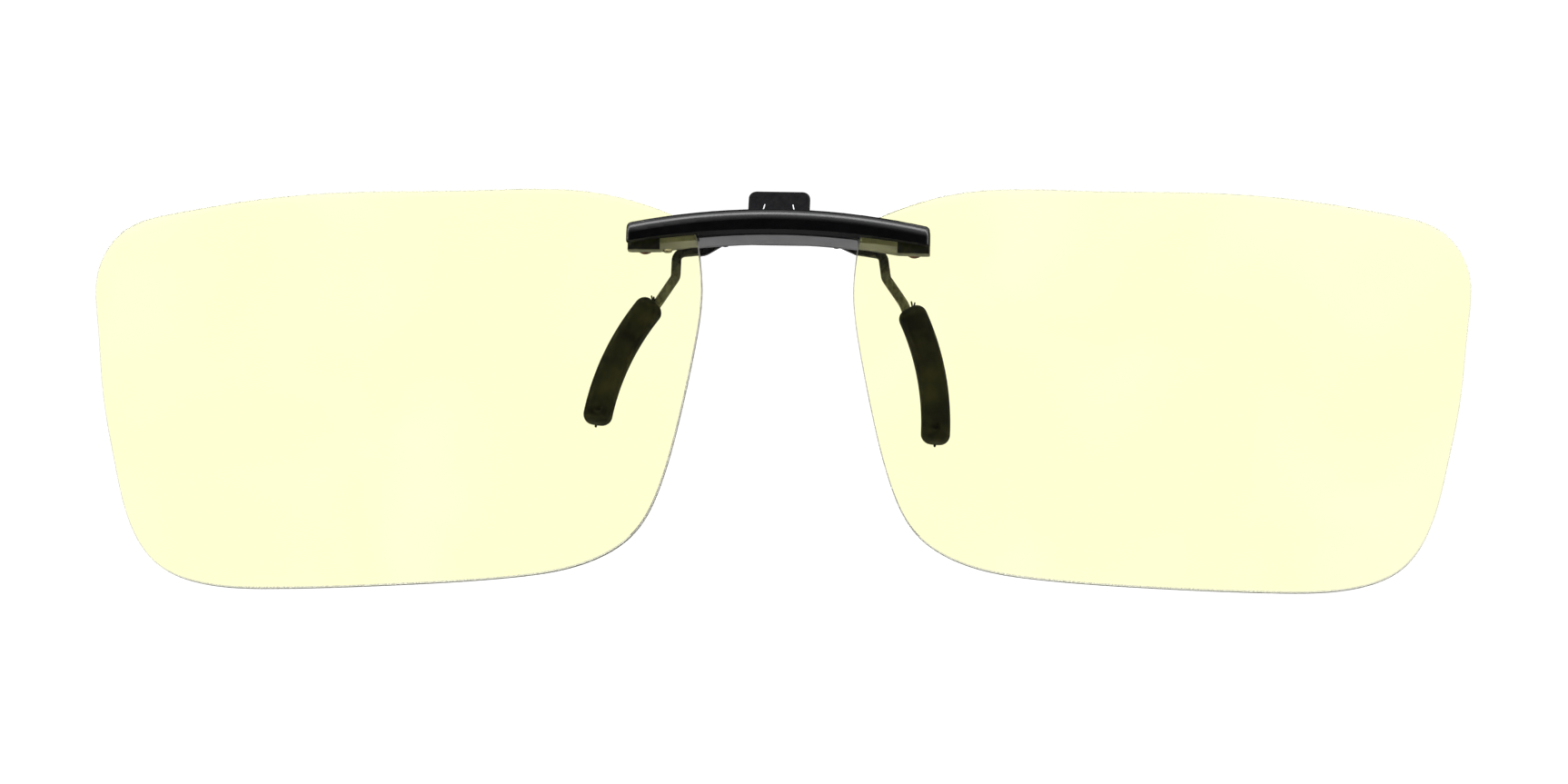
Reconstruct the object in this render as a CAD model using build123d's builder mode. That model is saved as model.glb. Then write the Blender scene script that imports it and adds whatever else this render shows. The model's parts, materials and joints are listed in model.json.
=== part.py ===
from build123d import *
from math import asin, cos, degrees, radians, sin
import os

# Pinch-type clip-on lenses: a bridge bar with two rimless lenses and a sprung thumb lever.
# Millimetres.  +X is to the right seen from the front, the front faces -Y, and +Z is up.
# The origin lies midway between the two bumpers, on their rear faces.

# Lens pair: seen from the front, both lenses share one plane that is rolled a little on the bar.
pair_roll = 0.8
pair_pivot_z = -0.2
lens_thickness = 1.2
lens_radius = 265.0
lens_wrap = 2.5
lens_apex = (37.7, -15.2)
lens_apex_y = -4.36
lens_bevel = 0.12
# Outline of the right lens, clockwise from the inner end of its flat top.
lens_outline = [
    (19.0, 5.3),
    (31.0, 5.4),
    (43.0, 5.3),
    (53.0, 4.6),
    (61.0, 3.4),
    (66.1, 1.7),
    (68.6, -2.2),
    (68.5, -7.7),
    (67.7, -15.1),
    (66.3, -22.1),
    (64.8, -27.6),
    (61.9, -32.0),
    (56.9, -34.1),
    (50.0, -34.6),
    (38.0, -34.3),
    (26.0, -33.5),
    (18.6, -32.0),
    (13.9, -29.0),
    (11.4, -24.3),
    (9.6, -17.7),
    (8.1, -10.2),
    (7.52, -5.0),
    (7.8, -1.2),
    (8.6, 1.6),
    (11.2, 3.25),
]

# Bridge bar: the top, the lip's lower edge and the ledge's lower edge are shallow arcs.
bar_half = 15.1
bar_rear_y = -0.8
bar_front_y = -5.2
bar_top_z = 3.21
bar_top_radius = 71.0
lip_bottom_z = 0.98
lip_bottom_radius = 82.0
ledge_front_y = -2.7
ledge_bottom_z = 0.14
ledge_bottom_radius = 70.0
ledge_half = 11.9
ledge_slope_run = 1.2
ledge_slope_rise = 0.76
bar_end_bottom_z = -0.93
lip_top_round = 1.2
lip_bottom_round = 0.08
bar_end_round = 0.5
cover_round_start = 0.05
plate_round_start = 0.5

# Lens slot in the bar, and the bonding pad behind each lens.
slot_clearance = 0.03
cover_rear_gap = 1.0
slot_growth = 1.005
pad_thickness = 0.3
pad_outer_x = 15.05
pad_margin = 0.03
pad_end_drop = 0.5
blank_depth = 20.0
pocket_reach = 4.0
seam_margin = 0.1
cut_margin = 1.0

# Bumpers on the back of the bar.
bumper_x = 13.5
bumper_radius = 1.0
bumper_round = 0.15

# Hinge: one pin across two bracket ears, with the lever's lugs just inside them.
hinge_x = -0.34
pin_y = 1.3
pin_z = 2.0
pin_radius = 0.5
pin_head_radius = 0.8
pin_head_thickness = 0.35
ear_inner_x = 3.2
ear_outer_x = 3.8
ear_radius = 1.0
ear_bore_radius = 0.52
bracket_thickness = 0.5
bracket_bottom_z = 0.55
bracket_top_z = 3.0
ring_inner_radius = 0.37
ring_outer_radius = 0.8
ring_thickness = 0.25
groove_gap = 0.05
pin_tail = 0.55
pin_chamfer = 0.1
head_round = 0.12

# Screws that hold the bracket on the bar.
screw_x = 1.9
screw_z = 1.55
screw_radius = 0.35
screw_length = 3.5
screw_head_radius = 0.6
screw_head_height = 0.35
screw_slot = (1.3, 0.2, 0.15)

# Thumb lever: a leaning tab, two lugs round the pin and a cross plate that carries the arms.
tab_lean = 22.5
tab_thickness = 0.7
tab_half = 3.1
tab_start = 1.0
tab_height = 4.47
tab_corner = 0.8
tab_edge_round = 0.2
lug_inner_x = 2.5
lug_radius = 0.95
lug_bore_radius = 0.54
plate_front_y = 0.75
plate_thickness = 0.6
plate_bottom_z = 0.45
plate_top_z = 0.9
toe_gap = 0.02
toe_bottom_z = 0.8
toe_top_z = 1.1
toe_run = 0.3
neck_height = 0.6
eye_x = 5.6
eye_z = 0.82
eye_radius = 0.62
rivet_radius = 0.3
rivet_head_radius = 0.5
rivet_head_height = 0.22
rivet_bore_length = 4.0

# Torsion springs: close-wound coils with one leg on the tab and one on the bracket.
wire_radius = 0.11
coil_radius = 0.72
coil_turns = 6
coil_pitch = 0.21
coil_inner_x = 0.62
tab_leg_reach = 2.75
tab_leg_x = 1.42
leg_gap = 0.02
foot_gap = 0.03
foot_drop = 0.12

# Arms: flattened wire from the eye, out under the bar and down into a curved rubber sleeve.
arm_width = 0.95
arm_thickness = 0.6
arm_round = 0.2
arm_run = {
    "left": [(7.6, 0.35, -0.42), (10.35, 0.1, -0.75)],
    "right": [(7.9, 0.35, -0.2), (10.35, 0.1, -0.62)],
}
arm_bends = [1.5, 0.9, 1.0, 3.0, 20.0]
knee = {"left": (10.35, -0.5, -3.3), "right": (10.75, -0.5, -3.1)}
entry = {"left": (11.87, -1.15, -5.85), "right": (12.6, -1.15, -5.77)}
sleeve_top = {"left": (12.33, -1.3, -6.0), "right": (13.1, -1.3, -6.2)}
sleeve_splay = {"left": 23.6, "right": 11.9}
sleeve_length = {"left": 13.65, "right": 14.0}
sleeve_sagitta = 0.95
sleeve_lean = 0.3
sleeve_width = 2.9
sleeve_depth = 2.3
sleeve_round = 1.0
sleeve_end_round = 0.85
wire_end = 0.88
vent_place = 0.9
vent_radius = 0.4
vent_depth = 0.5
nib_radius = 0.14
nib_length = 0.2
top_nib_length = 0.45

os.makedirs("parts", exist_ok=True)

sides = (("left", -1), ("right", 1))
roll = radians(pair_roll)
pair_plane = Plane(origin=(0, 0, pair_pivot_z), x_dir=(cos(roll), 0, sin(roll)), z_dir=(0, -1, 0))


def lens_centre(sign):
    """Centre of the spheres that a lens is cut from."""
    across = lens_apex[0] - lens_radius * sin(radians(lens_wrap))
    back = lens_apex_y + lens_radius * cos(radians(lens_wrap))
    place = pair_plane.from_local_coords(Vector(sign * across, lens_apex[1], 0))
    return Vector(place.X, back, place.Z)


def lens_outline_at(sign, growth):
    """Points of a lens outline, grown about the lens's middle."""
    mid_x, mid_z = lens_apex
    return [(sign * (mid_x + (x - mid_x) * growth), mid_z + (z - mid_z) * growth) for x, z in lens_outline]


def arc_height(top, radius, x):
    """Height at x of an arc whose highest point is at top."""
    return top - x**2 / (2 * radius)


def save(piece, name):
    """Label a finished piece and write its file."""
    piece.label = name
    export_step(piece, f"parts/{name}.step")


# Lenses
for side, sign in sides:
    with BuildPart() as lens:
        with BuildSketch(pair_plane.offset(-blank_depth / 2)):
            with BuildLine():
                Spline(lens_outline_at(sign, 1), periodic=True)
            make_face()
        extrude(amount=blank_depth)
        with Locations(lens_centre(sign)):
            Sphere(lens_radius, mode=Mode.INTERSECT)
            Sphere(lens_radius - lens_thickness, mode=Mode.SUBTRACT)
        chamfer(lens.edges().sort_by(SortBy.LENGTH)[-2:], lens_bevel)
    save(lens.part, f"{side}_lens")


def slot_tool(sign, rear_gap):
    """The space that a lens takes out of the bar, with a gap kept behind the lens."""
    with BuildPart() as tool:
        with BuildSketch(pair_plane.offset(-blank_depth / 2)):
            with BuildLine():
                Spline(lens_outline_at(sign, slot_growth), periodic=True)
            make_face()
        extrude(amount=blank_depth)
        with Locations(lens_centre(sign)):
            Sphere(lens_radius + slot_clearance, mode=Mode.INTERSECT)
            Sphere(lens_radius - lens_thickness - rear_gap, mode=Mode.SUBTRACT)
    return tool.part


def pad_shell(sign, inner_x, outer_x, low_z, high_z):
    """A patch of the layer just behind a lens, between two heights and two distances out."""
    with BuildPart() as patch:
        with Locations((sign * (inner_x + outer_x) / 2, ledge_front_y, (low_z + high_z) / 2)):
            Box(outer_x - inner_x, blank_depth, high_z - low_z)
        with Locations(lens_centre(sign)):
            Sphere(lens_radius - lens_thickness, mode=Mode.INTERSECT)
            Sphere(lens_radius - lens_thickness - pad_thickness, mode=Mode.SUBTRACT)
    return patch.part


def round_bar_ends(piece, low_z, near_y, far_y):
    """Round the upper edges of both end faces between two depths."""
    for place in (0, -1):
        end_face = piece.faces().filter_by(Plane.YZ).sort_by(Axis.X)[place]
        upper = end_face.edges().filter_by_position(Axis.Z, low_z, bar_top_z)
        fillet(upper.filter_by_position(Axis.Y, near_y, far_y), bar_end_round)


def screw_holes(start_y, end_y):
    """Cut the two screw holes between two depths."""
    for sign in (-1, 1):
        with BuildSketch(Plane.XZ.offset(-start_y)) as hole:
            with Locations((hinge_x + sign * screw_x, screw_z)):
                Circle(screw_radius)
        extrude(hole.sketch, amount=start_y - end_y, mode=Mode.SUBTRACT)


end_top_z = arc_height(bar_top_z, bar_top_radius, bar_half)
knee_z = arc_height(ledge_bottom_z, ledge_bottom_radius, ledge_half)
end_lip_z = arc_height(lip_bottom_z, lip_bottom_radius, bar_half)
seat_y = bar_rear_y + bracket_thickness
screw_tip_y = seat_y - screw_length

# Front cover of the bar: a glossy lip that hangs in front of the lenses
with BuildPart() as cover:
    with BuildSketch(Plane.XZ.offset(-ledge_front_y)):
        with BuildLine():
            ThreePointArc((-bar_half, end_top_z), (0, bar_top_z), (bar_half, end_top_z))
            Line((bar_half, end_top_z), (bar_half, end_lip_z))
            ThreePointArc((bar_half, end_lip_z), (0, lip_bottom_z), (-bar_half, end_lip_z))
            Line((-bar_half, end_lip_z), (-bar_half, end_top_z))
        make_face()
    extrude(amount=ledge_front_y - bar_front_y)
    lip_arcs = cover.faces().sort_by(Axis.Y)[0].edges().filter_by(GeomType.CIRCLE)
    fillet(lip_arcs.sort_by(Axis.Z)[-1], lip_top_round)
    round_bar_ends(cover, end_lip_z + cover_round_start, bar_front_y, ledge_front_y - seam_margin)
    lip_arcs = cover.faces().sort_by(Axis.Y)[0].edges().filter_by(GeomType.CIRCLE)
    fillet(lip_arcs.sort_by(Axis.Z)[0], lip_bottom_round)
    for sign in (-1, 1):
        add(slot_tool(sign, cover_rear_gap), mode=Mode.SUBTRACT)
    screw_holes(ledge_front_y, screw_tip_y)
save(cover.part, "front_cover")

# Rear plate of the bar: its lower edge shows below the lip as a sloping ledge
with BuildPart() as plate:
    with BuildSketch(Plane.XZ.offset(-bar_rear_y)):
        with BuildLine():
            ThreePointArc((-bar_half, end_top_z), (0, bar_top_z), (bar_half, end_top_z))
            Polyline((bar_half, end_top_z), (bar_half, bar_end_bottom_z), (ledge_half, knee_z))
            ThreePointArc((ledge_half, knee_z), (0, ledge_bottom_z), (-ledge_half, knee_z))
            Polyline((-ledge_half, knee_z), (-bar_half, bar_end_bottom_z), (-bar_half, end_top_z))
        make_face()
    extrude(amount=bar_rear_y - ledge_front_y)
    # The ledge's front slopes down and back between the bonding pads.
    slope_angle = degrees(asin(ledge_half / ledge_bottom_radius))
    arc_centre_z = ledge_bottom_z - ledge_bottom_radius
    tilt = radians(slope_angle)
    slope_plane = Plane(
        origin=(0, 0, arc_centre_z), x_dir=(0, 1, 0), z_dir=(cos(tilt), 0, sin(tilt))
    )
    with BuildSketch(slope_plane):
        Polygon(
            (ledge_front_y - seam_margin, ledge_bottom_radius + ledge_slope_rise),
            (ledge_front_y + ledge_slope_run, ledge_bottom_radius),
            (ledge_front_y + ledge_slope_run, ledge_bottom_radius - cut_margin),
            (ledge_front_y - seam_margin, ledge_bottom_radius - cut_margin),
            align=None,
        )
    revolve(
        axis=Axis((0, 0, arc_centre_z), (0, 1, 0)),
        revolution_arc=2 * slope_angle,
        mode=Mode.SUBTRACT,
    )
    round_bar_ends(plate, end_lip_z + plate_round_start, ledge_front_y + seam_margin, bar_rear_y)
    for sign in (-1, 1):
        pocket = pad_shell(sign, ledge_half, bar_half + cut_margin, -pocket_reach, pocket_reach)
        add(slot_tool(sign, slot_clearance), mode=Mode.SUBTRACT)
        add(pocket, mode=Mode.SUBTRACT)
    screw_holes(bar_rear_y, ledge_front_y)
save(plate.part, "rear_plate")

# Bonding pads between the ledge and the lenses
for side, sign in sides:
    with BuildPart() as pad:
        add(pad_shell(sign, ledge_half, pad_outer_x, bar_end_bottom_z, bar_top_z))
        with BuildSketch(Plane.XZ):
            with BuildLine():
                inner = sign * ledge_half
                outer = sign * pad_outer_x
                inner_top = arc_height(bar_top_z, bar_top_radius, ledge_half) - pad_margin
                outer_top = arc_height(bar_top_z, bar_top_radius, pad_outer_x) - pad_end_drop
                Polyline(
                    (inner, knee_z + pad_margin),
                    (outer, bar_end_bottom_z + pad_margin),
                    (outer, outer_top),
                    (inner, inner_top),
                    close=True,
                )
            make_face()
        extrude(amount=-bar_front_y, mode=Mode.INTERSECT)
    save(pad.part, f"{side}_lens_pad")

# Bumpers
for side, sign in sides:
    with BuildPart() as bumper:
        with BuildSketch(Plane.XZ):
            with Locations((sign * bumper_x, 0)):
                Circle(bumper_radius)
        extrude(amount=-bar_rear_y)
        fillet(bumper.faces().sort_by(Axis.Y)[-1].edges(), bumper_round)
    save(bumper.part, f"{side}_bumper")

# Hinge bracket: a base plate on the back of the bar and two ears
with BuildPart() as bracket:
    with BuildSketch(Plane.XZ.offset(-bar_rear_y)):
        with Locations((hinge_x, (bracket_bottom_z + bracket_top_z) / 2)):
            Rectangle(2 * ear_outer_x, bracket_top_z - bracket_bottom_z)
    extrude(amount=-bracket_thickness)
    for sign in (-1, 1):
        ear_thickness = ear_outer_x - ear_inner_x
        with BuildSketch(Plane.YZ.offset(hinge_x + sign * (ear_inner_x + ear_outer_x) / 2)):
            with Locations((pin_y, pin_z)):
                Circle(ear_radius)
            with Locations(((bar_rear_y + pin_y) / 2, pin_z)):
                Rectangle(pin_y - bar_rear_y, 2 * ear_radius)
        extrude(amount=ear_thickness / 2, both=True)
    with Locations(Location((hinge_x, pin_y, pin_z), (0, 90, 0))):
        Cylinder(ear_bore_radius, 4 * ear_outer_x, mode=Mode.SUBTRACT)
    screw_holes(seat_y, bar_rear_y)
save(bracket.part, "hinge_bracket")

# Bracket screws
with BuildPart() as screws:
    for sign in (-1, 1):
        with BuildSketch(Plane.XZ.offset(-seat_y)):
            with Locations((hinge_x + sign * screw_x, screw_z)):
                Circle(screw_radius)
        extrude(amount=screw_length)
        with BuildSketch(Plane.XZ.offset(-seat_y)):
            with Locations((hinge_x + sign * screw_x, screw_z)):
                Circle(screw_head_radius)
        extrude(amount=-screw_head_height)
        head_y = seat_y + screw_head_height
        with Locations((hinge_x + sign * screw_x, head_y, screw_z)):
            Box(screw_slot[0], 2 * screw_slot[2], screw_slot[1], mode=Mode.SUBTRACT)
    rims = screws.faces().filter_by(Plane.XZ).group_by(Axis.Y)[-1]
    fillet(rims.edges().filter_by(GeomType.CIRCLE), head_round)
save(screws.part, "bracket_screws")

# Hinge pin with its head on the left and a ring groove on the right
with BuildPart() as pin:
    head_x = hinge_x - ear_outer_x
    groove_x = hinge_x + ear_outer_x + groove_gap
    with BuildSketch(Plane.YZ.offset(head_x)):
        with Locations((pin_y, pin_z)):
            Circle(pin_radius)
    extrude(amount=2 * ear_outer_x + pin_tail)
    with BuildSketch(Plane.YZ.offset(head_x)):
        with Locations((pin_y, pin_z)):
            Circle(pin_head_radius)
    extrude(amount=-pin_head_thickness)
    with BuildSketch(Plane.YZ.offset(groove_x)):
        with Locations((pin_y, pin_z)):
            Circle(pin_radius + cut_margin)
            Circle(ring_inner_radius, mode=Mode.SUBTRACT)
    extrude(amount=ring_thickness, mode=Mode.SUBTRACT)
    fillet(pin.faces().sort_by(Axis.X)[0].edges(), head_round)
    chamfer(pin.faces().sort_by(Axis.X)[-1].edges(), pin_chamfer)
save(pin.part, "hinge_pin")

# Ring in the pin's groove
with BuildPart() as ring:
    with BuildSketch(Plane.YZ.offset(groove_x)):
        with Locations((pin_y, pin_z)):
            Circle(ring_outer_radius)
            Circle(ring_inner_radius, mode=Mode.SUBTRACT)
        with Locations((pin_y, pin_z - ring_outer_radius)):
            Rectangle(ring_inner_radius, 2 * ring_outer_radius - ring_inner_radius, mode=Mode.SUBTRACT)
    extrude(amount=ring_thickness)
save(ring.part, "pin_ring")

# Torsion springs round the pin
for side, sign in sides:
    with BuildPart() as spring:
        coil_outer_x = coil_inner_x + (coil_turns - 1) * coil_pitch
        with BuildSketch(Plane.XY.offset(pin_z)):
            for turn in range(coil_turns):
                turn_x = hinge_x + sign * (coil_inner_x + turn * coil_pitch)
                with Locations((turn_x, pin_y + coil_radius)):
                    Circle(wire_radius)
        revolve(axis=Axis((0, pin_y, pin_z), (1, 0, 0)))
        lean = radians(tab_lean)
        offset_y = tab_thickness / 2 + wire_radius + leg_gap
        tab_end = Vector(
            hinge_x + sign * tab_leg_x,
            pin_y + tab_leg_reach * sin(lean) - offset_y * cos(lean),
            pin_z + tab_leg_reach * cos(lean) + offset_y * sin(lean),
        )
        coil_start = Vector(hinge_x + sign * coil_outer_x, pin_y - coil_radius, pin_z)
        leg = tab_end - coil_start
        with BuildSketch(Plane(origin=coil_start, x_dir=(1, 0, 0), z_dir=leg)):
            Circle(wire_radius)
        extrude(amount=leg.length)
        foot = Vector(hinge_x + sign * coil_inner_x, pin_y, pin_z - coil_radius)
        foot_end = Vector(foot.X, seat_y + foot_gap, foot.Z - foot_drop)
        with BuildSketch(Plane(origin=foot, x_dir=(1, 0, 0), z_dir=foot_end - foot)):
            Circle(wire_radius)
        extrude(amount=(foot_end - foot).length)
    save(spring.part, f"{side}_spring")

# Thumb lever
with BuildPart() as lever:
    lean = radians(tab_lean)
    tab_plane = Plane(
        origin=(hinge_x, pin_y, pin_z), x_dir=(1, 0, 0), z_dir=(0, -cos(lean), sin(lean))
    )
    with BuildSketch(tab_plane.offset(-tab_thickness / 2)) as tab_face:
        with Locations((0, (tab_start + tab_height) / 2)):
            Rectangle(2 * tab_half, tab_height - tab_start)
        fillet(tab_face.vertices().group_by(Axis.Z)[-1], tab_corner)
    extrude(amount=tab_thickness)
    fillet(lever.faces().sort_by(Axis.Z)[-1].edges(), tab_edge_round)
    for sign in (-1, 1):
        with BuildSketch(Plane.YZ.offset(hinge_x + sign * (lug_inner_x + tab_half) / 2)):
            with Locations((pin_y, pin_z)):
                Circle(lug_radius)
            with BuildLine():
                neck = tab_start + neck_height
                half = tab_thickness / 2
                up_y = pin_y + neck * sin(lean)
                up_z = pin_z + neck * cos(lean)
                Polyline(
                    (pin_y - lug_radius, pin_z),
                    (up_y - half * cos(lean), up_z + half * sin(lean)),
                    (up_y + half * cos(lean), up_z - half * sin(lean)),
                    (pin_y + lug_radius, pin_z),
                    close=True,
                )
            make_face()
            with BuildLine():
                toe_y = seat_y + toe_gap
                back_y = plate_front_y + plate_thickness
                Polyline(
                    (toe_y, toe_bottom_z),
                    (plate_front_y, plate_bottom_z),
                    (back_y, plate_bottom_z),
                    (pin_y + lug_radius, pin_z),
                    (pin_y - lug_radius, pin_z),
                    (plate_front_y - toe_run, toe_top_z),
                    (toe_y, toe_top_z),
                    close=True,
                )
            make_face()
        extrude(amount=(tab_half - lug_inner_x) / 2, both=True)
    with BuildSketch(Plane.XZ.offset(-plate_front_y)):
        with Locations((0, (plate_bottom_z + plate_top_z) / 2)):
            Rectangle(2 * eye_x, plate_top_z - plate_bottom_z)
        with Locations((eye_x, eye_z), (-eye_x, eye_z)):
            Circle(eye_radius)
    extrude(amount=-plate_thickness)
    with Locations(Location((hinge_x, pin_y, pin_z), (0, 90, 0))):
        Cylinder(lug_bore_radius, 4 * tab_half, mode=Mode.SUBTRACT)
    for sign in (-1, 1):
        with Locations(Location((sign * eye_x, plate_front_y, eye_z), (90, 0, 0))):
            Cylinder(rivet_radius, rivet_bore_length, mode=Mode.SUBTRACT)
save(lever.part, "thumb_lever")

# Arms and their sleeves
arm_y = plate_front_y - arm_thickness / 2


def sleeve_line(side, sign):
    """Three points of a sleeve's centre line: top, middle and end."""
    across, depth, height = sleeve_top[side]
    splay = radians(sleeve_splay[side])
    top = Vector(sign * across, depth, height)
    length = sleeve_length[side]
    run = Vector(sign * length * sin(splay), -sleeve_lean, -length * cos(splay))
    bulge = Vector(sign * cos(splay), 0, sin(splay)) * sleeve_sagitta
    return top, top + run / 2 + bulge, top + run


def section_plane(line, place):
    """Plane across a line at a place along it, with local y towards the back."""
    along = line % place
    return Plane(origin=line @ place, x_dir=Vector(0, 1, 0).cross(along), z_dir=along)


for side, sign in sides:
    with BuildLine() as middle:
        ThreePointArc(*sleeve_line(side, sign))
    points = [(eye_x, arm_y, eye_z), *arm_run[side], knee[side], entry[side]]
    route = [Vector(sign * x, y, z) for x, y, z in points]
    route += [middle.edge() @ 0.5, middle.edge() @ wire_end]
    with BuildPart() as arm:
        with BuildLine() as wire:
            FilletPolyline(*route, radius=arm_bends)
        with BuildSketch(section_plane(wire.wire(), 0)):
            RectangleRounded(arm_width, arm_thickness, arm_round)
        sweep(path=wire.wire())
        with BuildSketch(Plane.XZ.offset(-plate_front_y)):
            with Locations((sign * eye_x, eye_z)):
                Circle(eye_radius)
        extrude(amount=arm_thickness)
        with Locations(Location((sign * eye_x, arm_y, eye_z), (90, 0, 0))):
            Cylinder(rivet_radius, rivet_bore_length, mode=Mode.SUBTRACT)
    save(arm.part, f"{side}_arm")

    with BuildPart() as sleeve:
        with BuildSketch(section_plane(middle.edge(), 0)):
            RectangleRounded(sleeve_width, sleeve_depth, sleeve_round)
        sweep(path=middle.edge())
        ends = [sleeve.faces().sort_by_distance(middle.edge() @ place)[0] for place in (0, 1)]
        fillet([edge for end in ends for edge in end.edges()], sleeve_end_round)
        with BuildSketch(section_plane(middle.edge(), 0).offset(-top_nib_length)):
            Circle(nib_radius)
        extrude(amount=2 * top_nib_length)
        with BuildSketch(section_plane(middle.edge(), 1).offset(nib_length)):
            Circle(nib_radius)
        extrude(amount=-2 * nib_length)
        spot = middle.edge() @ vent_place
        with BuildSketch(Plane.XZ.offset(sleeve_depth / 2 - spot.Y)):
            with Locations((spot.X, spot.Z)):
                Circle(vent_radius)
        extrude(amount=-vent_depth, mode=Mode.SUBTRACT)
        add(arm.part, mode=Mode.SUBTRACT)
    save(sleeve.part, f"{side}_sleeve")

# Rivets that hold the arms on the cross plate
with BuildPart() as rivets:
    front_y = plate_front_y - arm_thickness
    rear_y = plate_front_y + plate_thickness
    for sign in (-1, 1):
        for start_y, end_y, radius in (
            (front_y - rivet_head_height, front_y, rivet_head_radius),
            (front_y, rear_y, rivet_radius),
            (rear_y, rear_y + rivet_head_height, rivet_head_radius),
        ):
            with BuildSketch(Plane.XZ.offset(-start_y)):
                with Locations((sign * eye_x, eye_z)):
                    Circle(radius)
            extrude(amount=start_y - end_y)
save(rivets.part, "arm_rivets")
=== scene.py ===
"""Looks for a pair of clip-on lenses: two clear yellow lenses, a black bridge bar and a sprung
thumb lever whose arms end in rubber sleeves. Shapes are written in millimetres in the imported
model's own frame, and MM makes them metres. The stage, the light and the camera are in metres."""

import json
import math

import bmesh
import bpy
import numpy as np
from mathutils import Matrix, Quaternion, Vector


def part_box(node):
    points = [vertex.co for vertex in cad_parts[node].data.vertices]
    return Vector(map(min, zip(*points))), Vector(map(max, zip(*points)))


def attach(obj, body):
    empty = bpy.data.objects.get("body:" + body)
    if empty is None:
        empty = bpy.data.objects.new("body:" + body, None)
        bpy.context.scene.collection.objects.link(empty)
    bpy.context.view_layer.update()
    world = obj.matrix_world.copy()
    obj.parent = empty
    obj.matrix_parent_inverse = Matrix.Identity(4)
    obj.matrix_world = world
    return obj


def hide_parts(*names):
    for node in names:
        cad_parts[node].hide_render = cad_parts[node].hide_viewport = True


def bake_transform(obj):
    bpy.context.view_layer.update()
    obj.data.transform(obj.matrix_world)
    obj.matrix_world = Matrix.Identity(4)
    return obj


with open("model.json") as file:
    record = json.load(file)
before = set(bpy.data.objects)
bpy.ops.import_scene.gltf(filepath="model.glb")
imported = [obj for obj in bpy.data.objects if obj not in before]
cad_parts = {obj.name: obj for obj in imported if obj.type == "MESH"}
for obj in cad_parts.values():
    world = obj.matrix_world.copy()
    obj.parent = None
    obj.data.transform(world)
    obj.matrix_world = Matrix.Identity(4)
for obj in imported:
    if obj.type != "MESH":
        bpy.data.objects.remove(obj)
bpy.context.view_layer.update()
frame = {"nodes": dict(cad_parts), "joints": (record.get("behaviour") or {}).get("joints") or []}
scene = bpy.context.scene
nodes = frame["nodes"]
MM = 0.001
SIDES = (("left", -1), ("right", 1))

# ---------------------------------------------------------------- material helpers


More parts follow.
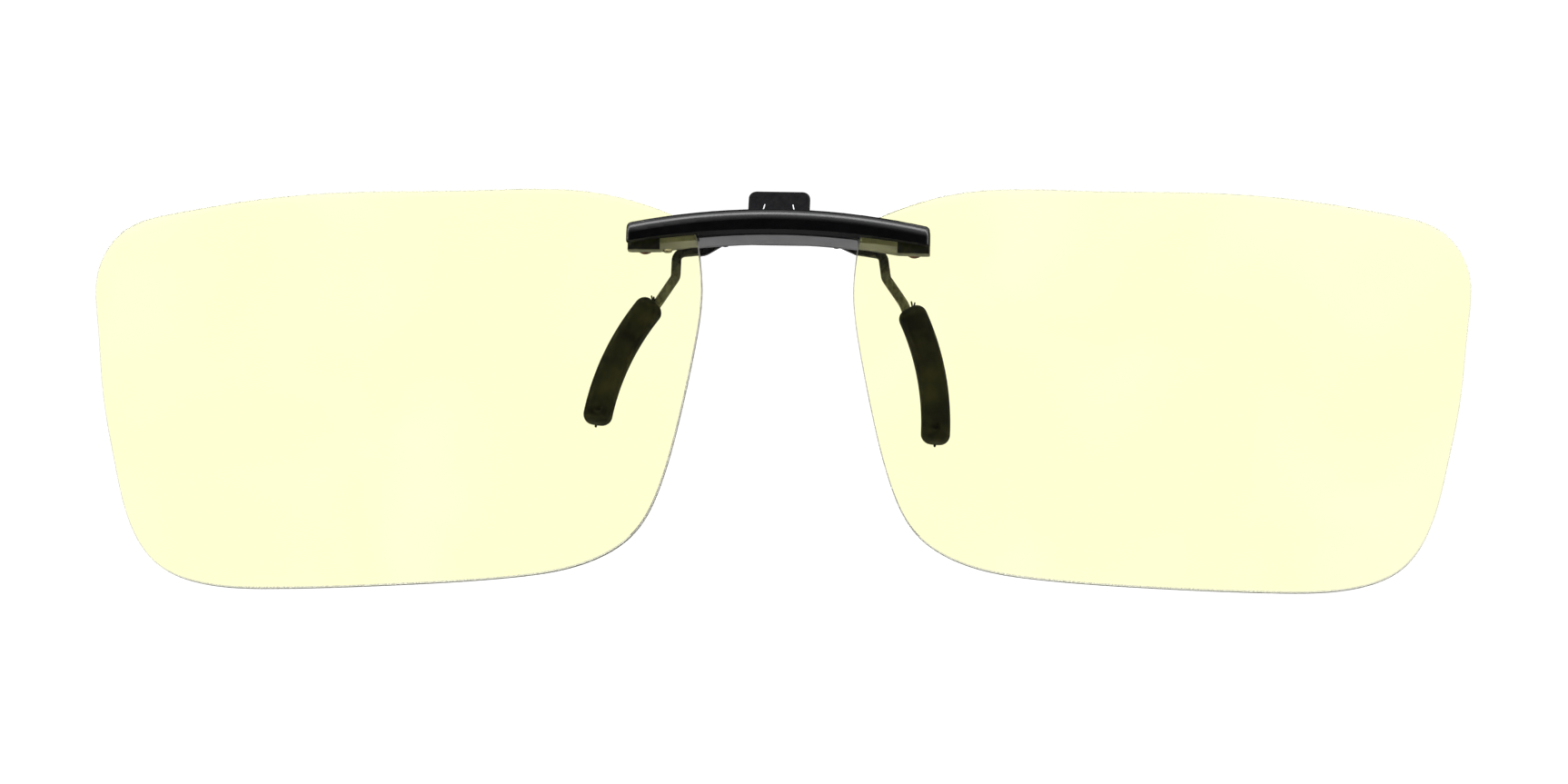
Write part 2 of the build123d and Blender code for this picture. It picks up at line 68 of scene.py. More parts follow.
class Surface:
    """A procedural Principled material, with short ways to add textures to it."""

    def __init__(self, name, **sockets):
        self.material = bpy.data.materials.new(name)
        self.material.use_nodes = True
        self.tree = self.material.node_tree
        self.shader = self.tree.nodes["Principled BSDF"]
        coordinates = self.tree.nodes.new("ShaderNodeTexCoord")
        self.place = coordinates.outputs["Object"]
        self.normal = coordinates.outputs["Normal"]
        for key, value in sockets.items():
            socket = self.shader.inputs[key.replace("_", " ")]
            if isinstance(value, tuple):
                value = (*value, 1.0)
            socket.default_value = value

    def link(self, output, socket):
        self.tree.links.new(output, socket)

    def noise(self, size, detail=2.0, roughness=0.5, distortion=0.0, stretch=None):
        """Noise whose features are about size metres across, drawn out where stretch is under 1."""
        node = self.tree.nodes.new("ShaderNodeTexNoise")
        node.inputs["Scale"].default_value = 1.0 / size
        node.inputs["Detail"].default_value = detail
        node.inputs["Roughness"].default_value = roughness
        node.inputs["Distortion"].default_value = distortion
        source = self.place
        if stretch:
            mapping = self.tree.nodes.new("ShaderNodeMapping")
            mapping.inputs["Scale"].default_value = stretch
            self.link(source, mapping.inputs["Vector"])
            source = mapping.outputs["Vector"]
        self.link(source, node.inputs["Vector"])
        return node.outputs["Fac"]

    def cells(self, size):
        """Rounded cells about size metres across."""
        node = self.tree.nodes.new("ShaderNodeTexVoronoi")
        node.feature = "SMOOTH_F1"
        node.inputs["Scale"].default_value = 1.0 / size
        self.link(self.place, node.inputs["Vector"])
        return node.outputs["Distance"]

    def ramp(self, value, low, high, start=0.35, end=0.65):
        """Numbers or colours between low and high as value goes from start to end."""
        if isinstance(low, tuple):
            node = self.tree.nodes.new("ShaderNodeValToRGB")
            node.color_ramp.elements[0].position = start
            node.color_ramp.elements[0].color = (*low, 1.0)
            node.color_ramp.elements[1].position = end
            node.color_ramp.elements[1].color = (*high, 1.0)
            self.link(value, node.inputs["Fac"])
            return node.outputs["Color"]
        node = self.tree.nodes.new("ShaderNodeMapRange")
        node.inputs["From Min"].default_value = start
        node.inputs["From Max"].default_value = end
        node.inputs["To Min"].default_value = low
        node.inputs["To Max"].default_value = high
        self.link(value, node.inputs["Value"])
        return node.outputs["Result"]

    def upward(self, vector):
        """The Z part of a vector."""
        split = self.tree.nodes.new("ShaderNodeSeparateXYZ")
        self.link(vector, split.inputs["Vector"])
        return split.outputs["Z"]

    def height(self):
        """The surface point's height, in metres."""
        return self.upward(self.place)

    def facing_up(self):
        """How far the surface faces up, from -1 to 1."""
        return self.upward(self.normal)

    def larger(self, a, b):
        """The larger of two values."""
        node = self.tree.nodes.new("ShaderNodeMath")
        node.operation = "MAXIMUM"
        self.link(a, node.inputs[0])
        self.link(b, node.inputs[1])
        return node.outputs[0]

    def mix(self, share, low, high):
        """Colours mixed by share."""
        node = self.tree.nodes.new("ShaderNodeMix")
        node.data_type = "RGBA"
        self.link(share, node.inputs["Factor"])
        self.link(low, node.inputs["A"])
        self.link(high, node.inputs["B"])
        return node.outputs["Result"]

    def colour(self, value):
        """Take the base colour from value."""
        self.link(value, self.shader.inputs["Base Color"])

    def rough(self, value):
        """Take the roughness from value."""
        self.link(value, self.shader.inputs["Roughness"])

    def bump(self, value, depth, strength=1.0, after=None):
        """Relief of value, depth metres high, on top of an earlier bump."""
        node = self.tree.nodes.new("ShaderNodeBump")
        node.inputs["Distance"].default_value = depth
        node.inputs["Strength"].default_value = strength
        self.link(value, node.inputs["Height"])
        if after is not None:
            self.link(after, node.inputs["Normal"])
        self.link(node.outputs["Normal"], self.shader.inputs["Normal"])
        return node.outputs["Normal"]


def dress(name, surface):
    """Give a CAD node a finished material."""
    piece = nodes[name]
    if not piece.material_slots:
        piece.data.materials.append(surface.material)
    for slot in piece.material_slots:
        slot.material = surface.material


# ---------------------------------------------------------------- materials

# The front of the bar is polished, but the underside of its lip is left rough by the mould.
gloss = Surface("gloss_black_moulding", Base_Color=(0.003, 0.003, 0.004), Specular_IOR_Level=0.5)
gloss.colour(gloss.ramp(gloss.noise(2.5 * MM, 3), (0.0015, 0.0015, 0.002), (0.003, 0.003, 0.004)))
underside = gloss.ramp(gloss.facing_up(), 0.95, 0.0, -0.9, -0.6)
polish = gloss.ramp(gloss.noise(0.9 * MM, 5, 0.65), 0.10, 0.22, 0.3, 0.7)
gloss.rough(gloss.larger(underside, polish))
grain = gloss.bump(gloss.noise(0.15 * MM, 4, 0.7), 0.011 * MM, 1.0)
gloss.bump(gloss.noise(5.5 * MM, 1), 0.09 * MM, 0.8, grain)

satin = Surface("satin_rear_moulding", Base_Color=(0.10, 0.10, 0.11), Specular_IOR_Level=0.5)
satin.colour(satin.ramp(satin.noise(1.4 * MM, 4), (0.245, 0.241, 0.254), (0.295, 0.291, 0.306)))
satin.rough(satin.ramp(satin.noise(0.7 * MM, 3), 0.34, 0.48))
satin.bump(satin.noise(0.12 * MM, 3, 0.6), 0.004 * MM, 0.8)

paint = Surface("blackened_metal", Base_Color=(0.006, 0.006, 0.007), Specular_IOR_Level=0.06)
paint.colour(paint.ramp(paint.noise(0.8 * MM, 4), (0.002, 0.002, 0.003), (0.005, 0.005, 0.006)))
paint.rough(paint.ramp(paint.noise(0.5 * MM, 4, 0.6), 0.16, 0.30))
paint.bump(paint.noise(0.10 * MM, 4, 0.6), 0.0015 * MM, 0.6)

# The arms carry painted shade: they are painted black where they leave the bar and run under it,
# and the plating's grey further down.
plating = Surface("dark_wire_plating", Base_Color=(0.10, 0.10, 0.10), Specular_IOR_Level=0.5)
drawn = plating.noise(0.5 * MM, 4, 0.6, stretch=(1.0, 1.0, 0.25))
# Painted shade: this height mask darkens the arms close to the bar, under its ledge.
shade_under_bar = plating.ramp(plating.height(), 0.0, 1.0, -1.2 * MM, -3.4 * MM)
black = plating.ramp(drawn, (0.012, 0.012, 0.013), (0.030, 0.030, 0.031))
grey = plating.ramp(drawn, (0.08, 0.08, 0.077), (0.18, 0.18, 0.165))
plating.colour(plating.mix(shade_under_bar, black, grey))
plating.rough(plating.ramp(plating.noise(0.4 * MM, 3), 0.22, 0.36))
plating.bump(plating.noise(0.12 * MM, 3, 0.6), 0.002 * MM, 0.7)

steel = Surface("dull_bright_steel", Base_Color=(0.42, 0.42, 0.43), Metallic=1.0)
steel.colour(steel.ramp(steel.noise(0.4 * MM, 3), (0.34, 0.34, 0.35), (0.50, 0.50, 0.51)))
steel.rough(steel.ramp(steel.noise(0.25 * MM, 4), 0.22, 0.38))
steel.bump(steel.noise(0.06 * MM, 3), 0.002 * MM, 0.6)

wire = Surface("drawn_spring_wire", Base_Color=(0.42, 0.42, 0.43), Metallic=1.0)
wire.colour(wire.ramp(wire.noise(0.3 * MM, 3), (0.34, 0.34, 0.35), (0.48, 0.48, 0.49)))
wire.rough(wire.ramp(wire.noise(0.2 * MM, 3), 0.16, 0.28))

rubber = Surface(
    "matte_sleeve_rubber",
    Base_Color=(0.016, 0.016, 0.015),
    Specular_IOR_Level=0.2,
    Sheen_Weight=0.02,
    Sheen_Roughness=0.5,
)
bloom = rubber.noise(4.5 * MM, 3, 0.55)
rubber.colour(rubber.ramp(bloom, (0.003, 0.003, 0.001), (0.026, 0.025, 0.009), 0.40, 0.66))
rubber.rough(rubber.ramp(rubber.noise(1.2 * MM, 4), 0.46, 0.64))
skin = rubber.bump(rubber.noise(0.14 * MM, 3, 0.6), 0.003 * MM, 0.5)
rubber.bump(rubber.noise(1.6 * MM, 2), 0.02 * MM, 0.5, skin)

silicone = Surface(
    "red_brown_silicone",
    Base_Color=(0.15, 0.045, 0.028),
    Specular_IOR_Level=0.5,
    Subsurface_Weight=0.3,
    Subsurface_Scale=0.4 * MM,
)
blush = silicone.noise(0.6 * MM, 3)
silicone.colour(silicone.ramp(blush, (0.12, 0.034, 0.022), (0.19, 0.06, 0.036)))
silicone.rough(silicone.ramp(silicone.noise(0.3 * MM, 3), 0.3, 0.45))
silicone.bump(silicone.noise(0.08 * MM, 3), 0.004 * MM, 0.8)

glue = Surface("dark_cured_adhesive", Base_Color=(0.010, 0.010, 0.010), Specular_IOR_Level=0.5)
glue.colour(glue.ramp(glue.cells(0.5 * MM), (0.006, 0.006, 0.006), (0.016, 0.016, 0.015)))
glue.rough(glue.ramp(glue.noise(0.5 * MM, 3), 0.3, 0.55))
glue.bump(glue.noise(0.3 * MM, 3), 0.02 * MM, 0.8)

bead = Surface(
    "clear_adhesive_bead", Base_Color=(0.55, 0.48, 0.38), IOR=1.46, Transmission_Weight=0.85
)
bead.colour(bead.ramp(bead.noise(0.2 * MM, 2), (0.42, 0.36, 0.28), (0.66, 0.60, 0.50)))
bead.rough(bead.ramp(bead.noise(0.1 * MM, 2), 0.08, 0.25))

tint = Surface("yellow_lens_tint", Base_Color=(1.0, 1.0, 0.69), IOR=1.5, Transmission_Weight=1.0)
cloud = tint.noise(17 * MM, 2, 0.4, 0.6)
tint.colour(tint.ramp(cloud, (1.0, 1.0, 0.625), (1.0, 0.985, 0.665), 0.45, 0.75))
tint.rough(tint.ramp(tint.noise(6 * MM, 3), 0.0, 0.02, 0.5, 0.9))


def edge_surface(name, low, high, clear):
    """Finely ground lens edge: frosted, speckled and more or less clear."""
    edge = Surface(name, Base_Color=high, IOR=1.5, Transmission_Weight=clear)
    edge.colour(edge.ramp(edge.noise(0.4 * MM, 3), low, high))
    edge.rough(edge.ramp(edge.noise(0.15 * MM, 3), 0.20, 0.36))
    edge.bump(edge.noise(0.09 * MM, 2), 0.004 * MM, 0.6)
    return edge


outer_edge = edge_surface("ground_lens_edge", (0.88, 0.87, 0.80), (0.97, 0.97, 0.92), 0.65)
nasal_edge = edge_surface("frosted_nasal_edge", (0.76, 0.75, 0.66), (0.94, 0.93, 0.84), 0.12)

for name, surface in (
    ("front_cover", gloss),
    ("rear_plate", satin),
    ("hinge_bracket", paint),
    ("bracket_screws", steel),
    ("hinge_pin", steel),
    ("pin_ring", steel),
    ("left_spring", wire),
    ("right_spring", wire),
    ("left_bumper", silicone),
    ("right_bumper", silicone),
    ("left_lens_pad", glue),
    ("right_lens_pad", glue),
    ("thumb_lever", paint),
    ("left_arm", plating),
    ("right_arm", plating),
    ("arm_rivets", steel),
    ("left_sleeve", rubber),
    ("right_sleeve", rubber),
    ("left_lens", tint),
    ("right_lens", tint),
):
    dress(name, surface)

# ---------------------------------------------------------------- mesh helpers

DOME_TURNS = (28, 55, 80)


def mesh_piece(name, verts, faces, surfaces, choices=None):
    """A smooth-shaded mesh object from millimetre points; choices gives each face's surface."""
    mesh = bpy.data.meshes.new(name)
    mesh.from_pydata([Vector(v) * MM for v in verts], [], faces)
    for surface in surfaces:
        mesh.materials.append(surface.material)
    for k, polygon in enumerate(mesh.polygons):
        polygon.use_smooth = True
        if choices:
            polygon.material_index = choices[k]
    mesh.update()
    piece = bpy.data.objects.new(name, mesh)
    scene.collection.objects.link(piece)
    return piece


def turn_faces_outward(piece):
    """Make every face of a closed mesh look outward."""
    work = bmesh.new()
    work.from_mesh(piece.data)
    bmesh.ops.recalc_face_normals(work, faces=work.faces)
    work.to_mesh(piece.data)
    work.free()


def tube(name, path, radius, surface, sides=14):
    """A round wire along a path of millimetre points, with domed ends."""
    path = [Vector(p) for p in path]
    heads = [(path[1] - path[0]).normalized()]
    heads += [(path[k + 1] - path[k - 1]).normalized() for k in range(1, len(path) - 1)]
    heads += [(path[-1] - path[-2]).normalized()]
    across = heads[0].orthogonal().normalized()
    sections = []
    for point, head in zip(path, heads):
        across = (across - head * across.dot(head)).normalized()
        sections.append((point, head, across, 1.0))

    def dome(section, turn, sign):
        point, head, across, _ = section
        a = math.radians(turn)
        return (point + head * radius * math.sin(a) * sign, head, across, math.cos(a))

    first = [dome(sections[0], turn, -1) for turn in reversed(DOME_TURNS)]
    last = [dome(sections[-1], turn, 1) for turn in DOME_TURNS]
    sections = first + sections + last
    verts = []
    faces = []
    for point, head, across, share in sections:
        other = head.cross(across)
        for n in range(sides):
            a = 2 * math.pi * n / sides
            verts.append(point + (across * math.cos(a) + other * math.sin(a)) * radius * share)
    for k in range(len(sections) - 1):
        for n in range(sides):
            m = (n + 1) % sides
            faces.append((k * sides + n, k * sides + m, (k + 1) * sides + m, (k + 1) * sides + n))
    faces.append(tuple(range(sides))[::-1])
    faces.append(tuple(len(verts) - sides + n for n in range(sides)))
    return mesh_piece(name, verts, faces, [surface])


# ---------------------------------------------------------------- lenses

ROLL = math.radians(0.8)
PIVOT_Z = -0.2
THICKNESS = 1.2
RADIUS = 265.0
WRAP = math.radians(2.5)
APEX = (37.7, -15.2)
APEX_Y = -4.36
EDGE_ROUND = 0.12
EDGE_TURNS = (30, 60, 90)
EDGE_SHARES = (0.25, 0.5, 0.75)
EDGE_RINGS = 2 * len(EDGE_TURNS) + len(EDGE_SHARES)
OUTLINE = [
    (19.0, 5.3),
    (31.0, 5.4),
    (43.0, 5.3),
    (53.0, 4.6),
    (61.0, 3.4),
    (66.1, 1.7),
    (68.6, -2.2),
    (68.5, -7.7),
    (67.7, -15.1),
    (66.3, -22.1),
    (64.8, -27.6),
    (61.9, -32.0),
    (56.9, -34.1),
    (50.0, -34.6),
    (38.0, -34.3),
    (26.0, -33.5),
    (18.6, -32.0),
    (13.9, -29.0),
    (11.4, -24.3),
    (9.6, -17.7),
    (8.1, -10.2),
    (7.52, -5.0),
    (7.8, -1.2),
    (8.6, 1.6),
    (11.2, 3.25),
]
RIM_POINTS = 384
SPAN_POINTS = 60
FACE_RINGS = 22
NASAL_REACH = 14.5


def closed_curve(points, count):
    """Evenly spaced points on the periodic cubic spline through the given ones."""
    p = np.array(points, float)
    n = len(p)
    gap = np.linalg.norm(np.roll(p, -1, 0) - p, axis=1)
    system = np.zeros((n, n))
    right = np.zeros((n, 2))
    for i in range(n):
        j = (i + 1) % n
        system[i, i - 1] += gap[i - 1]
        system[i, i] += 2 * (gap[i - 1] + gap[i])
        system[i, j] += gap[i]
        right[i] = 6 * ((p[j] - p[i]) / gap[i] - (p[i] - p[i - 1]) / gap[i - 1])
    curl = np.linalg.solve(system, right)
    dense = []
    for i in range(n):
        j = (i + 1) % n
        for v in np.linspace(0, gap[i], SPAN_POINTS, endpoint=False):
            u = gap[i] - v
            dense.append(
                (curl[i] * u**3 + curl[j] * v**3) / (6 * gap[i])
                + (p[i] / gap[i] - curl[i] * gap[i] / 6) * u
                + (p[j] / gap[i] - curl[j] * gap[i] / 6) * v
            )
    dense = np.array(dense + dense[:1])
    run = np.concatenate([[0], np.cumsum(np.linalg.norm(np.diff(dense, axis=0), axis=1))])
    at = np.linspace(0, run[-1], count, endpoint=False)
    return np.column_stack([np.interp(at, run, dense[:, k]) for k in (0, 1)])


def lens_piece(side, sign):
    """One lens: two spherical faces and a softly rounded, finely ground edge."""
    rim = closed_curve(OUTLINE, RIM_POINTS)
    along = np.roll(rim, -1, 0) - np.roll(rim, 1, 0)
    along /= np.linalg.norm(along, axis=1)[:, None]
    inward = np.column_stack([along[:, 1], -along[:, 0]])
    middle = np.array(APEX)
    if np.sum((middle - rim) * inward) < 0:
        inward = -inward
    centre_u = APEX[0] - RADIUS * math.sin(WRAP)
    centre_y = APEX_Y + RADIUS * math.cos(WRAP)
    front, back = RADIUS, RADIUS - THICKNESS

    def place(u, v, radius, forward=0.0):
        """The outline point u, v on the sphere of that radius, moved forward."""
        y = centre_y - math.sqrt(radius**2 - (u - centre_u) ** 2 - (v - APEX[1]) ** 2) - forward
        x = sign * u * math.cos(ROLL) - v * math.sin(ROLL)
        z = sign * u * math.sin(ROLL) + v * math.cos(ROLL) + PIVOT_Z
        return (x, y, z)

    verts = []
    faces = []
    choices = []
    rings = []

    def ring(points, radius, forward=0.0):
        """One loop of points round the lens."""
        start = len(verts)
        verts.extend(place(u, v, radius, forward) for u, v in points)
        rings.append(range(start, start + RIM_POINTS))

    def rounded(turn, radius, way):
        """A loop on the rounded corner between a face and the edge."""
        a = math.radians(turn)
        inset = inward * EDGE_ROUND * (1 - math.sin(a))
        ring(rim + inset, radius, way * EDGE_ROUND * (1 - math.cos(a)))

    inner = rim + inward * EDGE_ROUND
    shares = [(k + 1) / FACE_RINGS for k in range(FACE_RINGS)]
    verts.append(place(*middle, front))
    for share in shares:
        ring(middle + (inner - middle) * share, front)
    for turn in EDGE_TURNS:
        rounded(turn, front, -1)
    for share in EDGE_SHARES:
        ring(rim, front, -EDGE_ROUND - (THICKNESS - 2 * EDGE_ROUND) * share)
    for turn in reversed(EDGE_TURNS):
        rounded(turn, back, 1)
    for share in reversed(shares):
        ring(middle + (inner - middle) * share, back)
    verts.append(place(*middle, back))
    first, last = 0, len(verts) - 1

    def face(*corners, surface=0):
        faces.append(corners if sign > 0 else tuple(reversed(corners)))
        choices.append(surface)

    for k in range(RIM_POINTS):
        j = (k + 1) % RIM_POINTS
        face(first, rings[0][k], rings[0][j])
        face(last, rings[-1][j], rings[-1][k])
    for n in range(len(rings) - 1):
        is_edge = FACE_RINGS <= n + 1 <= FACE_RINGS + EDGE_RINGS
        for k in range(RIM_POINTS):
            j = (k + 1) % RIM_POINTS
            surface = (2 if rim[k][0] < NASAL_REACH else 1) if is_edge else 0
            face(rings[n][k], rings[n + 1][k], rings[n + 1][j], rings[n][j], surface=surface)
    surfaces = [tint, outer_edge, nasal_edge]
    piece = mesh_piece(f"{side}_lens_blank", verts, faces, surfaces, choices)
    turn_faces_outward(piece)
    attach(piece, "carrier")
    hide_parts(f"{side}_lens")


# ---------------------------------------------------------------- springs

PIN_Y, PIN_Z = (metres / MM for metres in frame["joints"][0]["pos_m"][1:])
BRACKET_LOW, BRACKET_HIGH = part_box("hinge_bracket")
HINGE_X = (BRACKET_LOW[0] + BRACKET_HIGH[0]) / 2 / MM
COIL_RADIUS = 0.72
WIRE_RADIUS = 0.075
COIL_TURNS = 5.5
COIL_PITCH = 0.19
COIL_START_X = 0.62
STEPS_PER_TURN = 36
COIL_STEPS = int(COIL_TURNS * STEPS_PER_TURN)
TAB_LEAN = math.radians(22.5)
TAB_FRONT = 0.46
LEG_REACH = 2.72
LEG_END_X = 1.42
FOOT_Y = -0.14
FOOT_DROP = 0.02
FOOT_CURVE = 0.7


def smooth(points, steps=8):
    """Points along the Catmull-Rom curve through the given ones."""
    p = [Vector(q) for q in points]
    p = [p[0] * 2 - p[1], *p, p[-1] * 2 - p[-2]]
    line = []
    for k in range(1, len(p) - 2):
        a, b, c, d = p[k - 1 : k + 3]
        for n in range(steps):
            t = n / steps
            line.append(
                0.5
                * (
                    2 * b
                    + (c - a) * t
                    + (2 * a - 5 * b + 4 * c - d) * t**2
                    + (3 * b - a - 3 * c + d) * t**3
                )
            )
    return [*line, p[-2]]


def spring_piece(side, sign):
    """A wound spring: a foot on the bracket, the coil round the pin and a leg up the tab."""
    lean_y, lean_z = math.sin(TAB_LEAN), math.cos(TAB_LEAN)

    def on_tab(reach, x):
        """A point on the tab's front face, reach up from the pin."""
        y = PIN_Y + reach * lean_y - TAB_FRONT * lean_z
        z = PIN_Z + reach * lean_z + TAB_FRONT * lean_y
        return (HINGE_X + sign * x, y, z)

    start_x = HINGE_X + sign * COIL_START_X
    coil_end_x = COIL_START_X + COIL_TURNS * COIL_PITCH
    foot = [
        (start_x, FOOT_Y, PIN_Z - COIL_RADIUS - FOOT_DROP),
        (start_x, PIN_Y - FOOT_CURVE, PIN_Z - COIL_RADIUS),
    ]
    coil = []
    for k in range(COIL_STEPS + 1):
        a = -math.pi / 2 + 2 * math.pi * COIL_TURNS * k / COIL_STEPS
        x = COIL_START_X + (coil_end_x - COIL_START_X) * k / COIL_STEPS
        y = PIN_Y + COIL_RADIUS * math.cos(a)
        z = PIN_Z + COIL_RADIUS * math.sin(a)
        coil.append((HINGE_X + sign * x, y, z))
    # The leg leaves the coil, meets the tab's face and leans inward as it climbs.
    leg = smooth(
        [
            coil[-1],
            (HINGE_X + sign * coil_end_x, PIN_Y - 0.17, PIN_Z + COIL_RADIUS + 0.03),
            on_tab(0.80, coil_end_x - 0.02),
            on_tab(1.2, coil_end_x - 0.06),
            on_tab(2.1, (coil_end_x + LEG_END_X) / 2),
            on_tab(LEG_REACH, LEG_END_X),
        ]
    )
    piece = tube(f"{side}_torsion_spring", foot + coil + leg[1:], WIRE_RADIUS, wire)
    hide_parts(f"{side}_spring")
    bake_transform(piece)


for side, sign in SIDES:
    lens_piece(side, sign)
    spring_piece(side, sign)

# ---------------------------------------------------------------- sleeves

SLEEVE_TOP = {"left": (12.33, -1.3, -6.0), "right": (13.1, -1.3, -6.2)}
SLEEVE_SPLAY = {"left": math.radians(23.6), "right": math.radians(11.9)}
SLEEVE_LENGTH = {"left": 13.65, "right": 14.0}
SLEEVE_LEAN = 0.3
SLEEVE_BOW = 0.95
SLEEVE_HALF = (1.45, 1.15)
SLEEVE_END = 1.05
SLEEVE_SPANS = 130
SLEEVE_SIDES = 80
SQUARENESS = 0.80
DIMPLE_PLACE = 0.885
DIMPLE_RADIUS = 0.48
DIMPLE_DEPTH = 0.5
SEAM_TURN = math.radians(35)
SEAM_HEIGHT = 0.035
SEAM_SPREAD = 0.07
TAIL_RADIUS = 0.13
TAIL_LENGTH = 0.13
TAIL_ROOT = 0.3
FLASH_RADIUS = 0.085
FLASH_CURL = 0.02
FLASH = {
    "left": (
        ((-12.45, -1.6, -5.95), (-12.62, -1.6, -5.45)),
        ((-12.32, -1.6, -5.85), (-12.40, -1.6, -5.55)),
    ),
    "right": (
        ((13.45, -1.6, -6.15), (13.36, -1.6, -5.62)),
        ((13.62, -1.6, -6.00), (13.70, -1.6, -5.72)),
    ),
}


def sleeve_piece(side, sign):
    """A moulded rubber sleeve: bowed, round-ended, with seams, a dimple, a tail and flash."""
    splay, length = SLEEVE_SPLAY[side], SLEEVE_LENGTH[side]
    across, depth, height = SLEEVE_TOP[side]
    run = Vector((sign * length * math.sin(splay), -SLEEVE_LEAN, -length * math.cos(splay)))
    outward = Vector((sign * math.cos(splay), 0, math.sin(splay)))
    middle = Vector((sign * across, depth, height)) + run / 2
    chord, heading = run.length, run.normalized()
    radius = (chord**2 / 4 + SLEEVE_BOW**2) / (2 * SLEEVE_BOW)
    half_turn = math.asin(chord / 2 / radius)
    total = 2 * radius * half_turn

    def station(at):
        """The middle line's place at that length from the top, and the three ways from there."""
        a = half_turn * (2 * at / total - 1)
        rise = radius * math.cos(a) - radius + SLEEVE_BOW
        place = outward * rise + heading * radius * math.sin(a)
        along = heading * math.cos(a) - outward * math.sin(a)
        wide = Vector((0, 1, 0)).cross(along).normalized()
        return middle + place, along, wide, along.cross(wide)

    turns = [math.radians(9 * k) for k in range(11)]
    nose = [(SLEEVE_END * (1 - math.cos(a)), SLEEVE_END * (1 - math.sin(a))) for a in turns]
    straight = total - 2 * SLEEVE_END
    body = [(SLEEVE_END + straight * k / SLEEVE_SPANS, 0.0) for k in range(1, SLEEVE_SPANS)]
    rows = nose + body + [(total - at, inset) for at, inset in reversed(nose)]
    around = SLEEVE_SIDES
    verts = []
    for at, inset in rows:
        place, along, wide, deep = station(at)
        for n in range(around):
            a = 2 * math.pi * n / around
            c, s = math.cos(a), math.sin(a)
            u = math.copysign(abs(c) ** SQUARENESS, c) * (SLEEVE_HALF[0] - inset)
            v = math.copysign(abs(s) ** SQUARENESS, s) * (SLEEVE_HALF[1] - inset)
            for seam in (-SEAM_TURN, SEAM_TURN - math.pi):
                away = math.remainder(a - seam, 2 * math.pi) / SEAM_SPREAD
                swell = SEAM_HEIGHT * math.exp(-(away**2)) * (1 - inset / SLEEVE_END)
                u += c * swell
                v += s * swell
            if s < 0:
                reach = math.hypot(u, at - DIMPLE_PLACE * total) / DIMPLE_RADIUS
                v += DIMPLE_DEPTH * max(0.0, 1 - reach**2) ** 1.5
            verts.append(place + wide * u + deep * v)
    faces = [tuple(range(around)), tuple(len(verts) - 1 - n for n in range(around))]
    for k in range(len(rows) - 1):
        for n in range(around):
            m = (n + 1) % around
            faces.append(tuple(k * around + q for q in (m, n, around + n, around + m)))
    piece = mesh_piece(f"{side}_moulded_sleeve", verts, faces, [rubber])
    turn_faces_outward(piece)
    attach(piece, "lever")
    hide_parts(f"{side}_sleeve")
    end, along, _, _ = station(total)
    tail = [end - along * TAIL_ROOT, end, end + along * TAIL_LENGTH]
    scraps = [tube(f"{side}_sleeve_tail", tail, TAIL_RADIUS, rubber)]
    for k, (root, tip) in enumerate(FLASH[side]):
        bend = (Vector(root) + Vector(tip)) / 2 + Vector((FLASH_CURL * sign, 0, 0))
        name = f"{side}_sleeve_flash_{k + 1}"
        scraps.append(tube(name, [root, bend, tip], FLASH_RADIUS, rubber, sides=8))
    for scrap in scraps:
        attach(scrap, "lever")


for side, sign in SIDES:
    sleeve_piece(side, sign)

# ---------------------------------------------------------------- squeezed-out adhesive

BEAD_AT = (-11.1, -2.35, -0.96)
BEAD_SIZE = (0.46, 0.28, 0.20)
BEAD_SAG = 1.25
BEAD_RIPPLE = (0.10, 0.06)
BEAD_RINGS = 14
BEAD_SIDES = 28


def bead_piece():
    """A drop of clear adhesive that sits between the lens and the foot of the bar."""
    verts = [(BEAD_AT[0], BEAD_AT[1], BEAD_AT[2] + BEAD_SIZE[2])]
    for k in range(1, BEAD_RINGS):
        a = math.pi * k / BEAD_RINGS
        sag = BEAD_SAG if a > math.pi / 2 else 1.0
        for n in range(BEAD_SIDES):
            b = 2 * math.pi * n / BEAD_SIDES
            swell = 1 + BEAD_RIPPLE[0] * math.cos(2 * b + 0.6) + BEAD_RIPPLE[1] * math.sin(3 * b)
            x = BEAD_AT[0] + BEAD_SIZE[0] * math.sin(a) * math.cos(b) * swell
            y = BEAD_AT[1] + BEAD_SIZE[1] * math.sin(a) * math.sin(b) * swell
            z = BEAD_AT[2] + BEAD_SIZE[2] * math.cos(a) * sag
            verts.append((x, y, z))
    foot = len(verts) - BEAD_SIDES
    verts.append((BEAD_AT[0], BEAD_AT[1], BEAD_AT[2] - BEAD_SIZE[2] * BEAD_SAG))
    faces = []
    for n in range(BEAD_SIDES):
        m = (n + 1) % BEAD_SIDES
        faces.append((0, 1 + n, 1 + m))
        faces.append((len(verts) - 1, foot + m, foot + n))
        for top in range(1, foot, BEAD_SIDES):
            faces.append((top + n, top + BEAD_SIDES + n, top + BEAD_SIDES + m, top + m))
    piece = mesh_piece("adhesive_bead", verts, faces, [bead])
    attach(piece, "carrier")


bead_piece()

# ---------------------------------------------------------------- stage, light and camera

FLOOR_RADIUS = 4.0
FLOOR_Z = -0.13

bpy.ops.mesh.primitive_circle_add(vertices=128, radius=FLOOR_RADIUS, fill_type="NGON")
floor = bpy.context.object
floor.name = "floor"
floor.location = (0, 0, FLOOR_Z)
pale = Surface("pale_floor", Base_Color=(0.62, 0.62, 0.62))
pale.colour(pale.ramp(pale.noise(0.05, 3), (0.61, 0.61, 0.61), (0.63, 0.63, 0.63)))
pale.rough(pale.ramp(pale.noise(0.02, 2), 0.75, 0.85))
floor.data.materials.append(pale.material)
floor.visible_glossy = False
floor.visible_diffuse = False

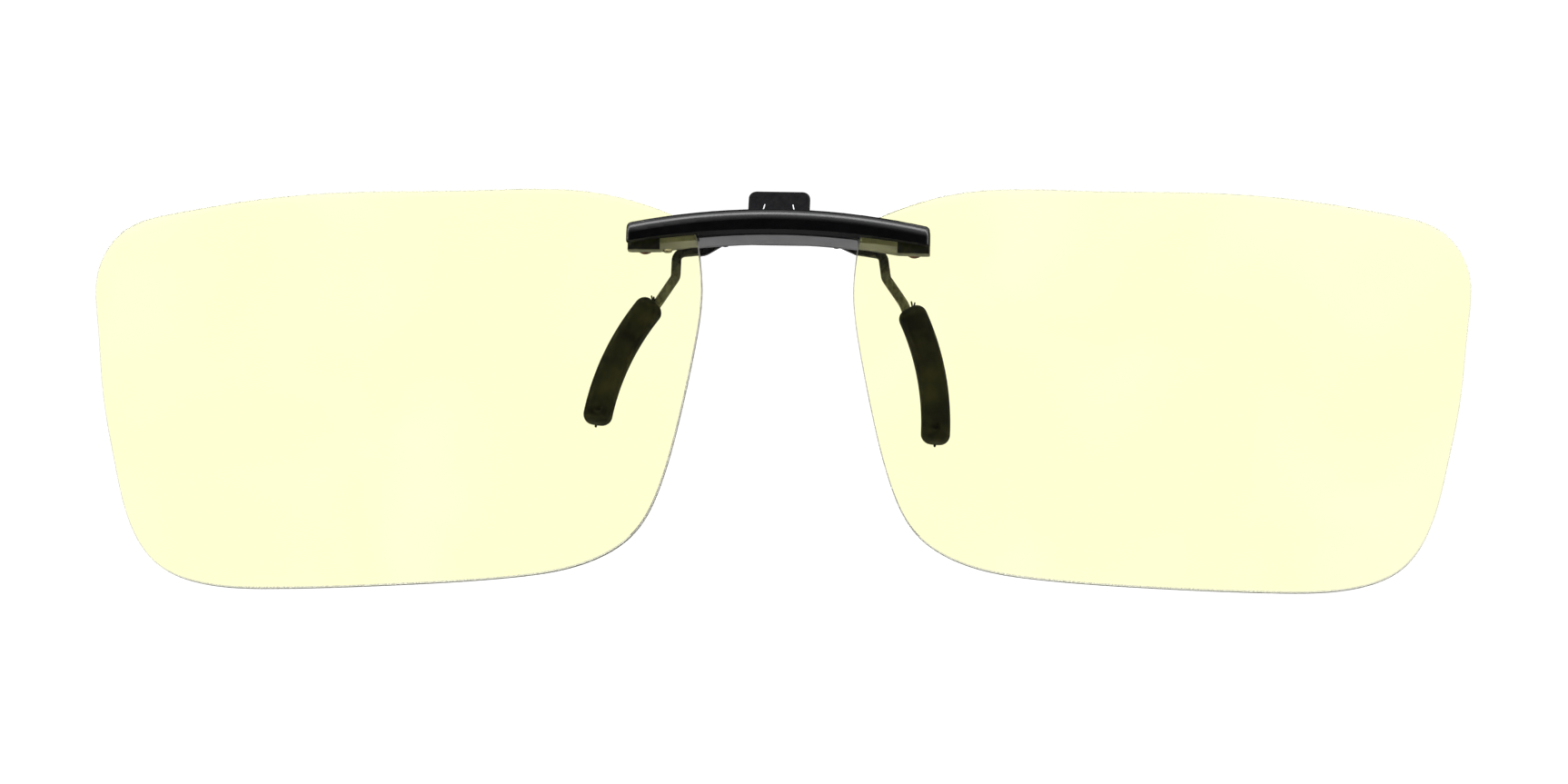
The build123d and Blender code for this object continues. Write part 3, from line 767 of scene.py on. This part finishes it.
# Seen directly or through the lenses, the world is plain white. What the surfaces reflect is a
# studio: a long soft light overhead and a little to the front, a bright sweep below, pale side
# walls and a dark room. Each light's direction is (front, up) across the length of the bar, and
# its fade starts and ends at cosines of the angle to it.
WHITE = 1.14
LAMP_DIRECTION = (0.34, 0.94)
LAMP_CORE = 5.2
LAMP_GLOW = 1.2
SWEEP_DIRECTION = (-0.36, -0.933)
SWEEP_LIGHT = 1.35
WALL_LIGHT = 0.38
ROOM_LIGHT = 0.03

world = bpy.data.worlds.new("studio")
scene.world = world
world.use_nodes = True
tree = world.node_tree
background = tree.nodes["Background"]
direction = tree.nodes.new("ShaderNodeTexCoord")
split = tree.nodes.new("ShaderNodeSeparateXYZ")
tree.links.new(direction.outputs["Generated"], split.inputs["Vector"])
x, y, z = (split.outputs[axis] for axis in "XYZ")


def calculate(kind, a, b=0.0):
    """A Math node of that kind on two numbers or outputs."""
    node = tree.nodes.new("ShaderNodeMath")
    node.operation = kind
    for k, value in enumerate((a, b)):
        if isinstance(value, (int, float)):
            node.inputs[k].default_value = value
        else:
            tree.links.new(value, node.inputs[k])
    return node.outputs[0]


def fade(value, start, end, low, high):
    """A soft step from low to high as value goes from start to end."""
    node = tree.nodes.new("ShaderNodeMapRange")
    node.interpolation_type = "SMOOTHSTEP"
    for key, number in zip(("From Min", "From Max", "To Min", "To Max"), (start, end, low, high)):
        node.inputs[key].default_value = number
    tree.links.new(value, node.inputs["Value"])
    return node.outputs["Result"]


def toward(front, up):
    """Cosine of the angle to a long strip light that runs from left to right."""
    reach = calculate("ADD", calculate("MULTIPLY", y, -front), calculate("MULTIPLY", z, up))
    squares = calculate("ADD", calculate("MULTIPLY", y, y), calculate("MULTIPLY", z, z))
    return calculate("DIVIDE", reach, calculate("SQRT", squares))


overhead = toward(*LAMP_DIRECTION)
lamp_core = fade(overhead, 0.968, 0.995, 0.0, LAMP_CORE)
lamp_glow = fade(overhead, 0.55, 1.0, 0.0, LAMP_GLOW)
sweep = fade(toward(*SWEEP_DIRECTION), 0.86, 0.96, 0.0, SWEEP_LIGHT)
walls = fade(calculate("ABSOLUTE", x), 0.72, 0.94, ROOM_LIGHT, WALL_LIGHT)
studio = calculate("ADD", calculate("ADD", lamp_core, lamp_glow), calculate("ADD", sweep, walls))
light_path = tree.nodes.new("ShaderNodeLightPath")
bounces = calculate("ADD", light_path.outputs["Diffuse Depth"], light_path.outputs["Glossy Depth"])
mixed = tree.nodes.new("ShaderNodeMix")
mixed.data_type = "FLOAT"
tree.links.new(calculate("LESS_THAN", bounces, 0.5), mixed.inputs["Factor"])
tree.links.new(studio, mixed.inputs["A"])
mixed.inputs["B"].default_value = WHITE
tree.links.new(mixed.outputs["Result"], background.inputs["Strength"])
background.inputs["Color"].default_value = (1, 1, 1, 1)

SOFTBOX_PLACE = Vector((0.0, -0.12, 0.46))
SOFTBOX_SIZE = (0.5, 0.16)
SOFTBOX_POWER = 0.25

softbox = bpy.data.lights.new("overhead_softbox", "AREA")
softbox.shape = "RECTANGLE"
softbox.size, softbox.size_y = SOFTBOX_SIZE
softbox.energy = SOFTBOX_POWER
lamp = bpy.data.objects.new("overhead_softbox", softbox)
scene.collection.objects.link(lamp)
lamp.location = SOFTBOX_PLACE
lamp.rotation_mode = "QUATERNION"
lamp.rotation_quaternion = (-SOFTBOX_PLACE).to_track_quat("-Z", "Y")
lamp.visible_camera = False

AIM = Vector((0.00108, -0.00565, -0.01541))
AZIMUTH = math.radians(3.32)
ELEVATION = math.radians(-8.345)
CAMERA_ROLL = math.radians(1.436)
DISTANCE = 0.6

camera = bpy.data.objects.new("camera", bpy.data.cameras.new("camera"))
scene.collection.objects.link(camera)
scene.camera = camera
camera.data.sensor_width = 36.0
camera.data.lens = 139.4
camera.data.clip_start = 0.01
camera.data.clip_end = 50.0
back_x = math.sin(AZIMUTH) * math.cos(ELEVATION)
back_y = -math.cos(AZIMUTH) * math.cos(ELEVATION)
back = Vector((back_x, back_y, math.sin(ELEVATION)))
camera.location = AIM + back * DISTANCE
camera.rotation_mode = "QUATERNION"
look = (-back).to_track_quat("-Z", "Y")
camera.rotation_quaternion = look @ Quaternion((0, 0, 1), CAMERA_ROLL)
scene.view_settings.view_transform = "Standard"
